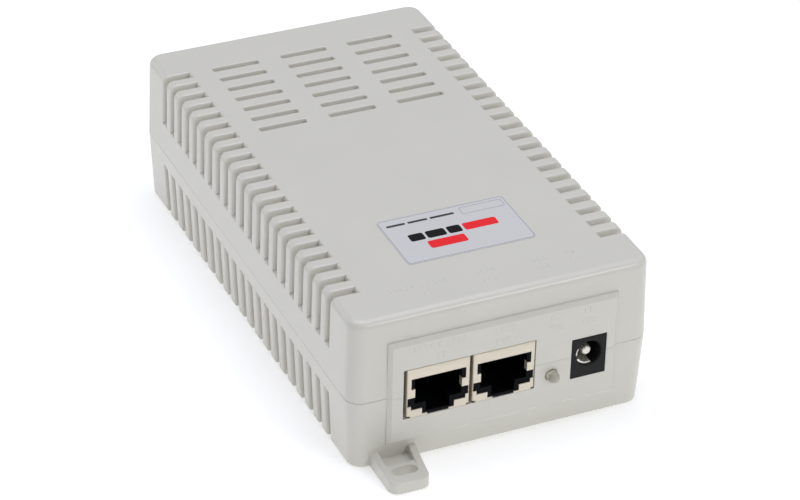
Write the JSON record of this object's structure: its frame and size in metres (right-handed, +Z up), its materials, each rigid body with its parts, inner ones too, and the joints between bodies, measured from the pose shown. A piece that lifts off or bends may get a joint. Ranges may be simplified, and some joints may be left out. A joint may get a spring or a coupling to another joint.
{
  "type": "power-over-ethernet splitter",
  "caption": "Small grooved plastic box with shielded network jacks, a round power socket and a status lamp in one end, and slotted screw ears; it splits data and power.",
  "frame": {"origin": "centre of the underside of the case", "axes": "+X right seen from the port end, -Y out of the port end, +Z up out of the vented top"},
  "size_m": [0.0774, 0.1606, 0.0404],
  "materials": {
    "case_plastic": "light grey moulded plastic with a fine satin texture",
    "label_film": "silver-grey printed film",
    "rating_film": "matt white printed film",
    "shield_metal": "nickel-plated sheet, satin",
    "black_plastic": "black moulded plastic, semi-gloss",
    "insert_plastic": "deep black moulded plastic",
    "contact_gold": "gold-plated spring wire",
    "plated_metal": "bright tin or nickel plating",
    "led_resin": "translucent water-clear resin",
    "board_laminate": "green solder resist over glass laminate",
    "package_resin": "black moulding compound",
    "solder_tin": "tinned leads",
    "ferrite": "dark grey sintered ferrite",
    "copper_wire": "enamelled copper wire",
    "tape_yellow": "yellow polyester tape",
    "cap_sleeve": "dark blue shrink sleeve",
    "disc_coating": "blue dipped epoxy",
    "chip_ceramic": "tan ceramic",
    "chip_resistor": "black glazed ceramic",
    "sink_aluminium": "plain extruded aluminium",
    "screw_zinc": "zinc-plated steel"
  },
  "bodies": {
    "case_and_board": {"base_shell": "case_plastic", "board_screws": "screw_zinc", "bridge_rectifier_leads": "solder_tin", "bridge_rectifiers": "package_resin", "capacitor_leads": "solder_tin", "case_screws": "screw_zinc", "chip_capacitors": "chip_ceramic", "chip_resistors": "chip_resistor", "choke_core": "ferrite", "choke_windings": "copper_wire", "control_chip_leads": "solder_tin", "control_chips": "package_resin", "data_in_housing": "insert_plastic", "data_in_pins": "contact_gold", "data_in_shield": "shield_metal", "data_out_housing": "insert_plastic", "data_out_pins": "contact_gold", "data_out_shield": "shield_metal", "dc_jack_body": "black_plastic", "dc_jack_centre_pin": "plated_metal", "dc_jack_switch_contact": "plated_metal", "dc_jack_terminals": "solder_tin", "disc_capacitor": "disc_coating", "disc_capacitor_leads": "solder_tin", "heat_sink_screws": "screw_zinc", "heat_sinks": "sink_aluminium", "inductor_core": "ferrite", "inductor_winding": "copper_wire", "input_capacitor": "cap_sleeve", "lan_magnetics": "package_resin", "lan_magnetics_leads": "solder_tin", "main_board": "board_laminate", "optocoupler": "package_resin", "optocoupler_leads": "solder_tin", "output_capacitors": "cap_sleeve", "power_device_bodies": "package_resin", "power_device_tabs": "plated_metal", "rating_label": "rating_film", "status_led_holder": "black_plastic", "status_led_leads": "solder_tin", "status_led_lens": "led_resin", "surface_diodes": "package_resin", "top_cover": "case_plastic", "top_label": "label_film", "transformer_bobbin": "black_plastic", "transformer_core": "ferrite", "transformer_pins": "solder_tin", "transformer_winding": "tape_yellow"},
    "data_in_contact_springs": {"data_in_contacts": "contact_gold"},
    "data_out_contact_springs": {"data_out_contacts": "contact_gold"},
    "dc_sleeve_spring": {"dc_jack_spring": "plated_metal"}
  },
  "joints": [
    {"name": "data_in_contacts_deflect", "type": "hinge", "parent": "case_and_board", "child": "data_in_contact_springs", "pos_m": [-0.0169, -0.06605, 0.0232], "axis": [1, 0, 0], "range_deg": [0, 10], "stiffness_Nm_per_rad": 0.05},
    {"name": "data_out_contacts_deflect", "type": "hinge", "parent": "case_and_board", "child": "data_out_contact_springs", "pos_m": [-0.00015, -0.06605, 0.0232], "axis": [1, 0, 0], "range_deg": [0, 10], "stiffness_Nm_per_rad": 0.05},
    {"name": "dc_sleeve_spring_deflect", "type": "hinge", "parent": "case_and_board", "child": "dc_sleeve_spring", "pos_m": [0.02081, -0.05995, 0.01584], "axis": [0.9205, 0, -0.3907], "range_deg": [0, 2.5], "stiffness_Nm_per_rad": 0.05}
  ]
}
